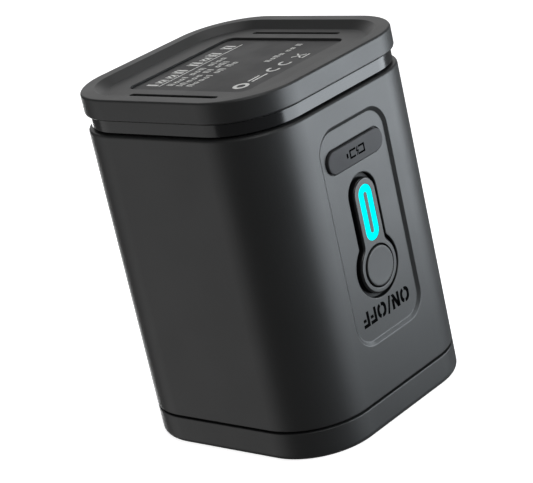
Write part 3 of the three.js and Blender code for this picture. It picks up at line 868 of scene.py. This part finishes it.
def outlet_collar():
    profile = [
        *eased(SOCKET_RADIUS, (0, 0.75), (0, 0.3), (0.45, 0.3), 4),
        *eased(SOCKET_LIP, (-0.2, 0.3), (0, 0.3), (0, 0.5), 4),
        (SOCKET_LIP, 2.1),
        (14.5, 2.1),
        (14.5, 3.2),
        (12.8, 3.2),
        (12.8, 5.9),
        (SOCKET_RADIUS, 5.9),
    ]
    rings = [upright(disc(r), z) for r, z in profile]
    collar = loft("outlet_ring", rings, gloss_finish, closed=True)
    cutters = []
    for side in (-1, 1):
        outline = rounded(1.0, 1.5, 0.3, side * (SOCKET_RADIUS + 0.2), 0, 4)
        cutters.append(loft("notch", [upright(outline, 0), upright(outline, 4)]))
    return settle_normals(boolean(collar, cutters))


place(intake_socket(), "pump", "gloss_black", "intake_socket")
place(intake_grille(), "pump", "dark_plastic", "intake_grille")
place(outlet_collar(), "pump", "gloss_black", "outlet_collar")


# Camera, at the photograph's viewing angle, with its roll


def camera_at(azimuth, elevation, roll, distance, lens, across, up, target=(0, 0, 36)):
    """Angles in degrees and lengths in millimetres.

    Across and up put the target that far to the right of and above the picture's centre.
    """
    a, e, r = (math.radians(v) for v in (azimuth, elevation, roll))
    back = Vector((math.cos(e) * math.cos(a), math.cos(e) * math.sin(a), math.sin(e)))
    right = Vector((-math.sin(a), math.cos(a), 0))
    high = back.cross(right)
    cam_right = math.cos(r) * right - math.sin(r) * high
    cam_up = math.sin(r) * right + math.cos(r) * high
    place_at = Vector(target) - across * cam_right - up * cam_up + distance * back
    data = bpy.data.cameras.new("camera")
    data.sensor_width = 36
    data.lens = lens
    data.clip_start, data.clip_end = 0.01, 20
    camera = bpy.data.objects.new("camera", data)
    turn = Matrix((cam_right, cam_up, back)).transposed()
    camera.matrix_world = Matrix.Translation(place_at * MM) @ turn.to_4x4()
    scene.collection.objects.link(camera)
    scene.camera = camera


camera_at(
    azimuth=-135.405,
    elevation=19.4255,
    roll=12.8237,
    distance=400.52,
    lens=139.80968,
    across=1.3099,
    up=2.538,
)


# Stage and light

STAGE_RADIUS = 4000
STAGE_GAP = 0.05
COOL = (0.88, 0.945, 1.0)


def studio():
    """A pale floor and a pale dome over it, which only the camera sees."""
    bm = bmesh.new()
    bmesh.ops.create_circle(bm, cap_ends=True, radius=STAGE_RADIUS, segments=64)
    ground = mesh_object("floor", bm)
    bm = bmesh.new()
    bmesh.ops.create_uvsphere(bm, u_segments=64, v_segments=32, radius=STAGE_RADIUS)
    below = [face for face in bm.faces if face.calc_center_median().z < 0]
    bmesh.ops.delete(bm, geom=below, context="FACES")
    dome = mesh_object("backdrop", bm)
    material = new_material("floor_white", (0.8, 0.8, 0.8), 0.9)
    shader = material.node_tree.nodes["Principled BSDF"]
    shader.inputs["Emission Color"].default_value = (1, 1, 1, 1)
    shader.inputs["Emission Strength"].default_value = 0.86
    for stage in (ground, dome):
        stage.data.materials.append(material)
        stage.location.z = -STAGE_GAP * MM
        stage.visible_diffuse = False
        stage.visible_glossy = False
        stage.visible_shadow = False


def softbox(name, place_at, aim_height, width, height, power, color=(1, 1, 1)):
    """An area light in metres and watts that points at a height on the upright axis."""
    data = bpy.data.lights.new(name, "AREA")
    data.shape = "RECTANGLE"
    data.size, data.size_y = width, height
    data.energy = power
    data.color = color
    light = bpy.data.objects.new(name, data)
    light.location = place_at
    direction = Vector((0, 0, aim_height)) - Vector(place_at)
    light.rotation_euler = direction.to_track_quat("-Z", "Y").to_euler()
    light.visible_camera = False
    scene.collection.objects.link(light)


def world_light():
    """A dim and even light from all round."""
    world = bpy.data.worlds.new("studio")
    scene.world = world
    world.use_nodes = True
    tree = world.node_tree
    background = tree.nodes["Background"]
    background.inputs["Color"].default_value = (1, 1, 1, 1)
    background.inputs["Strength"].default_value = 0.12


studio()
world_light()
softbox("key", (0.135, -0.18, 0.035), 0.035, 0.25, 0.16, 0.72, COOL)
softbox("side", (-0.24, 0.22, 0.0), 0.04, 0.34, 0.46, 0.31)
softbox("front", (-0.2, -0.3, 0.3), 0.04, 0.2, 0.2, 0.3)
softbox("back", (0.35, 0.35, 0.22), 0.06, 0.5, 0.3, 0.34)
softbox("top", (0.1, -0.05, 0.5), 0.05, 0.4, 0.4, 0.7)
softbox("rear", (0.26, 0.36, -0.13), 0.035, 0.32, 0.3, 1.0)

scene.view_settings.view_transform = "Standard"
